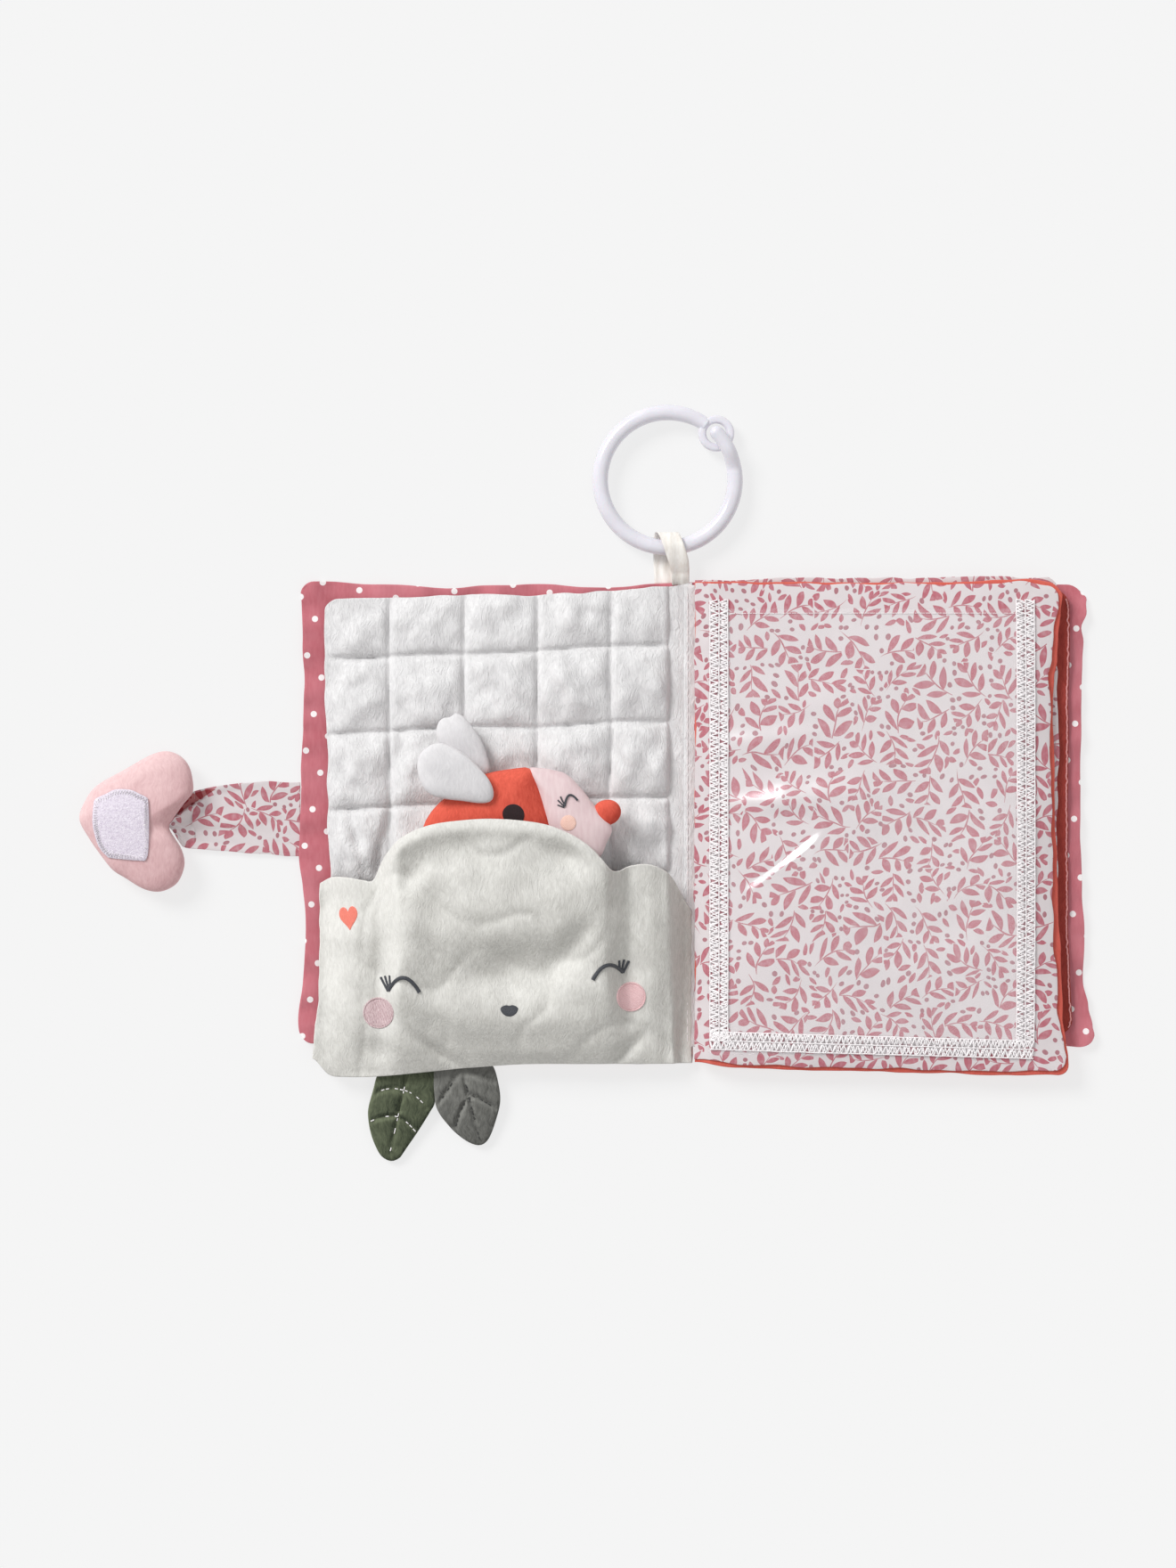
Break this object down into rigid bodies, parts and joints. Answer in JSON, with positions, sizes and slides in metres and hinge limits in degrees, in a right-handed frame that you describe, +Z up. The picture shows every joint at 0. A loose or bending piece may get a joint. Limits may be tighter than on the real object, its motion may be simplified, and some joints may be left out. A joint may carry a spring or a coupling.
{
  "type": "baby activity book",
  "caption": "Soft cloth activity book lying open, with a cloud pocket holding a bird toy, a clear film pocket, leaf tabs, a heart closure strap and a clip-on ring.",
  "frame": {"origin": "middle of the spine strip's underside, where the open book rests on a table", "axes": "+Z up out of the open pages, +X from the spine to the back cover's fore edge, +Y to the top of the pages"},
  "size_m": [0.3721, 0.2789, 0.0287],
  "materials": {
    "dotted_cotton": "matt woven cotton, dusty pink with small white dots",
    "red_plush": "short dark red pile",
    "wadding": "soft polyester wadding",
    "white_plush": "short white pile, quilted",
    "cream_plush": "soft cream pile",
    "sprig_print": "matt cotton with a small leaf print",
    "coral_plush": "short coral pile",
    "bird_coral": "coral velour",
    "pale_satin": "pale pink satin",
    "green_velvet": "dark green velvet",
    "grey_velvet": "mid grey velvet",
    "heart_velour": "pale pink velour",
    "fastener_tape": "hook and loop tape",
    "clear_film": "clear soft film, gloss",
    "thread": "white overlock thread",
    "white_plastic": "white gloss plastic",
    "cream_satin": "cream satin ribbon"
  },
  "bodies": {
    "spine_and_back_cover": {"spine_strip": "dotted_cotton", "gutter_binding": "white_plush", "back_cover_outer": "dotted_cotton", "back_cover_wadding": "wadding", "back_cover_inner": "dotted_cotton", "back_cover_lining": "red_plush", "closure_loop_patch": "fastener_tape"},
    "front_cover": {"front_cover_outer": "dotted_cotton", "front_cover_wadding": "wadding", "front_cover_inner": "dotted_cotton"},
    "pocket_leaf": {"pocket_leaf_back": "coral_plush", "pocket_leaf_wadding": "wadding", "pocket_leaf_front": "white_plush", "cloud_pocket": "cream_plush"},
    "inner_leaf": {"inner_leaf_back": "coral_plush", "inner_leaf_wadding": "wadding", "inner_leaf_front": "sprig_print"},
    "window_leaf": {"window_leaf_back": "coral_plush", "window_leaf_wadding": "wadding", "window_leaf_front": "sprig_print", "clear_film_pocket": "clear_film", "window_thread_gutter": "thread", "window_thread_fore": "thread", "window_thread_bottom": "thread"},
    "bird": {"bird_body": "bird_coral", "bird_head": "pale_satin", "bird_beak": "bird_coral"},
    "bird_near_wing": {"bird_near_wing": "white_plush"},
    "bird_far_wing": {"bird_far_wing": "white_plush"},
    "green_leaf_tab": {"green_leaf_tab": "green_velvet"},
    "grey_leaf_tab": {"grey_leaf_tab": "grey_velvet"},
    "strap": {"closure_strap": "sprig_print"},
    "heart": {"heart_tab": "heart_velour", "strap_gathered_end": "sprig_print", "closure_hook_patch": "fastener_tape"},
    "ribbon": {"ribbon_loop": "cream_satin"},
    "ring": {"link_ring": "white_plastic"}
  },
  "joints": [
    {"name": "pocket_leaf_turn", "type": "hinge", "parent": "spine_and_back_cover", "child": "pocket_leaf", "pos_m": [0, 0, 0.0178], "axis": [0, 1, 0], "range_deg": [0, 150]},
    {"name": "front_cover_turn", "type": "hinge", "parent": "spine_and_back_cover", "child": "front_cover", "pos_m": [0, 0, 0.0178], "axis": [0, 1, 0], "range_deg": [0, 140]},
    {"name": "inner_leaf_turn", "type": "hinge", "parent": "spine_and_back_cover", "child": "inner_leaf", "pos_m": [0, 0, 0.0178], "axis": [0, 1, 0], "range_deg": [-60, 0]},
    {"name": "window_leaf_turn", "type": "hinge", "parent": "inner_leaf", "child": "window_leaf", "pos_m": [0, 0, 0.0178], "axis": [0, 1, 0], "range_deg": [-90, 0]},
    {"name": "strap_fold", "type": "hinge", "parent": "front_cover", "child": "strap", "pos_m": [-0.1463, -0.002, 0.002], "axis": [0, -1, 0], "range_deg": [-90, 0]},
    {"name": "heart_fold", "type": "hinge", "parent": "strap", "child": "heart", "pos_m": [-0.1848, -0.002, 0.002], "axis": [0, -1, 0], "range_deg": [-90, 0]},
    {"name": "green_leaf_flap", "type": "hinge", "parent": "pocket_leaf", "child": "green_leaf_tab", "pos_m": [-0.107, -0.0953, 0.006], "axis": [-1, 0, 0], "range_deg": [0, 90]},
    {"name": "grey_leaf_flap", "type": "hinge", "parent": "pocket_leaf", "child": "grey_leaf_tab", "pos_m": [-0.084, -0.0953, 0.006], "axis": [-1, 0, 0], "range_deg": [0, 90]},
    {"name": "bird_slide", "type": "slide", "parent": "pocket_leaf", "child": "bird", "axis": [0, 1, 0], "range_m": [0, 0.06]},
    {"name": "near_wing_flap", "type": "hinge", "parent": "bird", "child": "bird_near_wing", "pos_m": [-0.0739, 0.0068, 0.025], "axis": [0.5, 0.866, 0], "range_deg": [0, 45]},
    {"name": "far_wing_flap", "type": "hinge", "parent": "bird", "child": "bird_far_wing", "pos_m": [-0.076, 0.015, 0.016], "axis": [0.7997, 0.6004, 0], "range_deg": [0, 12]},
    {"name": "ribbon_fold", "type": "hinge", "parent": "spine_and_back_cover", "child": "ribbon", "pos_m": [-0.0095, 0.0853, 0.0035], "axis": [1, 0, 0], "range_deg": [0, 70]},
    {"name": "ring_swing", "type": "hinge", "parent": "ribbon", "child": "ring", "pos_m": [-0.0095, 0.0985, 0.0044], "axis": [-1, 0, 0], "range_deg": [-90, 0]}
  ],
  "couplings": [
    {"joint": "front_cover_turn", "follows": "pocket_leaf_turn", "ratio": 0.93}
  ]
}
